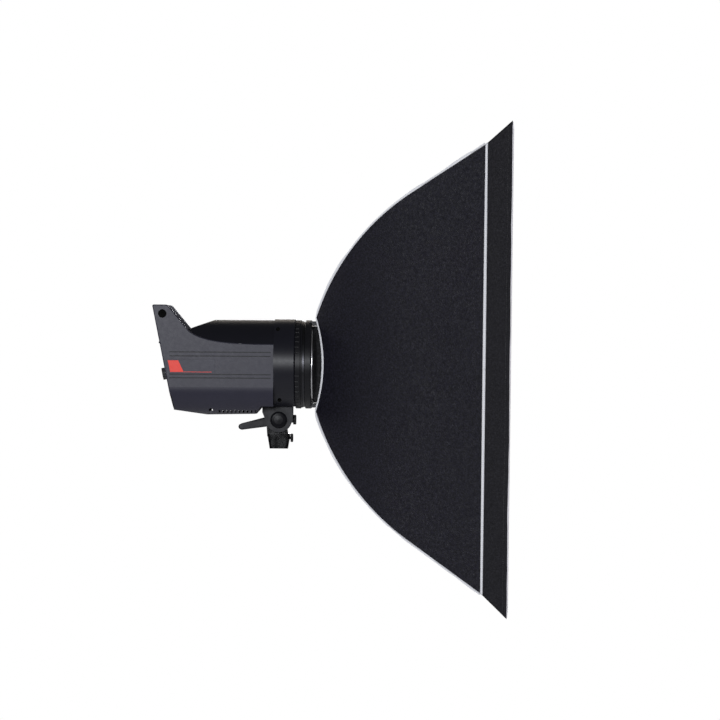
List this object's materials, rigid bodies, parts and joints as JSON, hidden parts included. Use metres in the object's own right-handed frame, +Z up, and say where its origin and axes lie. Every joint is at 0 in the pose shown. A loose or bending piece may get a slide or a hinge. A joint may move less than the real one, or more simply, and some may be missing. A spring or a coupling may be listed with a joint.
{
  "type": "strip softbox on a flash head",
  "caption": "Tall narrow cloth light box on sprung rods and a turning ring, with a flared hood at its front, locked to a studio flash head on a tilting stand bracket.",
  "frame": {"origin": "centre of the mouth of the stand socket, on the socket's axis", "axes": "+X the way the light points, +Z up, so +Y is the left of someone standing behind the flash head"},
  "size_m": [0.7176, 0.3856, 0.9852],
  "materials": {
    "socket_casting": "gloss black enamel",
    "knob_plastic": "satin",
    "bracket_paint": "satin powder coat",
    "washer_fibre": "pressed fibre",
    "steel": "zinc plated",
    "cap_plastic": "satin",
    "lever_paint": "satin powder coat",
    "shell_plastic": "satin moulded, blue grey",
    "dark_plastic": "satin moulded",
    "panel_plastic": "fine grain",
    "button_rubber": "matte",
    "display_glass": "gloss window",
    "dial_plastic": "satin",
    "switch_plastic": "gloss",
    "inlet_plastic": "satin",
    "handle_rubber": "soft touch",
    "collar_plastic": "satin",
    "reflector_metal": "satin anodised",
    "tube_glass": "clear",
    "lamp_ceramic": "ceramic",
    "lamp_glass": "frosted",
    "dome_glass": "frosted",
    "zinc_plate": "zinc plated",
    "can_metal": "sleeved",
    "board_laminate": "solder mask",
    "fan_plastic": "moulded",
    "label_film": "printed film, plain",
    "black_screws": "black oxide",
    "lock_plastic": "satin",
    "adapter_metal": "cast, machined",
    "bright_metal": "turned, bright",
    "ring_paint": "satin powder coat",
    "rod_steel": "spring steel",
    "holder_paint": "powder coat",
    "cover_cloth": "coated nylon, fine pebble grain",
    "lip_cloth": "coated nylon",
    "binding_tape": "woven binding",
    "diffuser_cloth": "white diffusion nylon"
  },
  "bodies": {
    "stand_mount": {"stand_socket": "socket_casting"},
    "head": {"tilt_bracket": "bracket_paint", "friction_washers": "washer_fibre", "pivot_bolt": "steel", "pivot_cap": "cap_plastic", "bottom_tray": "shell_plastic", "side_shell_right": "shell_plastic", "side_shell_left": "shell_plastic", "top_cover": "dark_plastic", "rear_panel": "panel_plastic", "display_window": "display_glass", "mains_inlet": "inlet_plastic", "sync_socket": "steel", "handle_bar": "handle_rubber", "front_collar": "collar_plastic", "reflector_plate": "reflector_metal", "flash_tube": "tube_glass", "lamp_socket": "lamp_ceramic", "modelling_lamp": "lamp_glass", "glass_dome": "dome_glass", "chassis": "zinc_plate", "capacitors": "can_metal", "circuit_board": "board_laminate", "fan_frame": "fan_plastic", "side_labels": "label_film", "housing_screws": "black_screws", "bayonet_adapter": "adapter_metal", "retaining_ring": "bright_metal"},
    "tilt_lever": {"tilt_lever": "lever_paint"},
    "spigot_clamp": {"spigot_clamp_knob": "knob_plastic"},
    "tilt_drag": {"tilt_drag_knob": "knob_plastic"},
    "lock_ring": {"lock_ring": "lock_plastic"},
    "softbox_ring": {"rotating_ring": "ring_paint", "holder_pins": "steel", "rear_skirt": "cover_cloth", "cover_right_upper": "cover_cloth", "cover_left_upper": "cover_cloth", "cover_end_upper": "cover_cloth", "lip_upper": "lip_cloth", "front_tape_upper": "binding_tape", "corner_tapes_upper": "binding_tape", "inner_diffuser_upper": "diffuser_cloth", "front_diffuser_upper": "diffuser_cloth", "cover_right_lower": "cover_cloth", "cover_left_lower": "cover_cloth", "cover_end_lower": "cover_cloth", "lip_lower": "lip_cloth", "front_tape_lower": "binding_tape", "corner_tapes_lower": "binding_tape", "inner_diffuser_lower": "diffuser_cloth", "front_diffuser_lower": "diffuser_cloth"},
    "upper_rods": {"rods_upper": "rod_steel", "rod_holders_upper": "holder_paint"},
    "lower_rods": {"rods_lower": "rod_steel", "rod_holders_lower": "holder_paint"},
    "jog_dial": {"jog_dial": "dial_plastic"},
    "mode_button": {"button_mode": "button_rubber"},
    "test_button": {"button_test": "button_rubber"},
    "power_switch": {"power_switch": "switch_plastic"},
    "fan": {"fan_rotor": "fan_plastic"}
  },
  "joints": [
    {"name": "head_tilt", "type": "hinge", "parent": "stand_mount", "child": "head", "pos_m": [0, 0, 0.0575], "axis": [0, 1, 0], "range_deg": [-60, 35]},
    {"name": "lever_turn", "type": "hinge", "parent": "head", "child": "tilt_lever", "pos_m": [0, 0.028, 0.0575], "axis": [0, 1, 0], "range_deg": [-75, 8]},
    {"name": "spigot_clamp_turn", "type": "hinge", "parent": "stand_mount", "child": "spigot_clamp", "pos_m": [0.026, 0, 0.0215], "axis": [1, 0, 0], "continuous": true},
    {"name": "tilt_drag_turn", "type": "hinge", "parent": "head", "child": "tilt_drag", "pos_m": [0.03, 0, 0.058], "axis": [1, 0, 0], "continuous": true},
    {"name": "lock_ring_turn", "type": "hinge", "parent": "head", "child": "lock_ring", "pos_m": [0.04, 0, 0.169], "axis": [1, 0, 0], "range_deg": [0, 20]},
    {"name": "softbox_turn", "type": "hinge", "parent": "head", "child": "softbox_ring", "pos_m": [0.06, 0, 0.169], "axis": [1, 0, 0], "continuous": true},
    {"name": "upper_fold", "type": "hinge", "parent": "softbox_ring", "child": "upper_rods", "pos_m": [0.0793, 0, 0.2509], "axis": [0, 1, 0], "range_deg": [0, 38], "deforming": ["cover_right_upper", "cover_left_upper", "cover_end_upper", "lip_upper", "front_tape_upper", "corner_tapes_upper", "inner_diffuser_upper", "front_diffuser_upper"]},
    {"name": "lower_fold", "type": "hinge", "parent": "softbox_ring", "child": "lower_rods", "pos_m": [0.0793, 0, 0.0871], "axis": [0, 1, 0], "range_deg": [-38, 0], "deforming": ["cover_right_lower", "cover_left_lower", "cover_end_lower", "lip_lower", "front_tape_lower", "corner_tapes_lower", "inner_diffuser_lower", "front_diffuser_lower"]},
    {"name": "jog_dial_turn", "type": "hinge", "parent": "head", "child": "jog_dial", "pos_m": [-0.22873, 0, 0.14892], "axis": [-0.9799, 0, -0.1994], "continuous": true},
    {"name": "mode_button_press", "type": "slide", "parent": "head", "child": "mode_button", "axis": [0.9799, 0, 0.1994], "range_m": [0, 0.0012], "stiffness_N_per_m": 400},
    {"name": "test_button_press", "type": "slide", "parent": "head", "child": "test_button", "axis": [0.9799, 0, 0.1994], "range_m": [0, 0.0012], "stiffness_N_per_m": 400},
    {"name": "power_switch_rock", "type": "hinge", "parent": "head", "child": "power_switch", "pos_m": [-0.21459, -0.044, 0.11302], "axis": [0, 1, 0], "range_deg": [-7, 7]},
    {"name": "fan_spin", "type": "hinge", "parent": "head", "child": "fan", "pos_m": [-0.17, 0, 0.1049], "axis": [1, 0, 0], "continuous": true}
  ],
  "couplings": [
    {"joint": "lower_fold", "follows": "upper_fold", "ratio": -1}
  ]
}
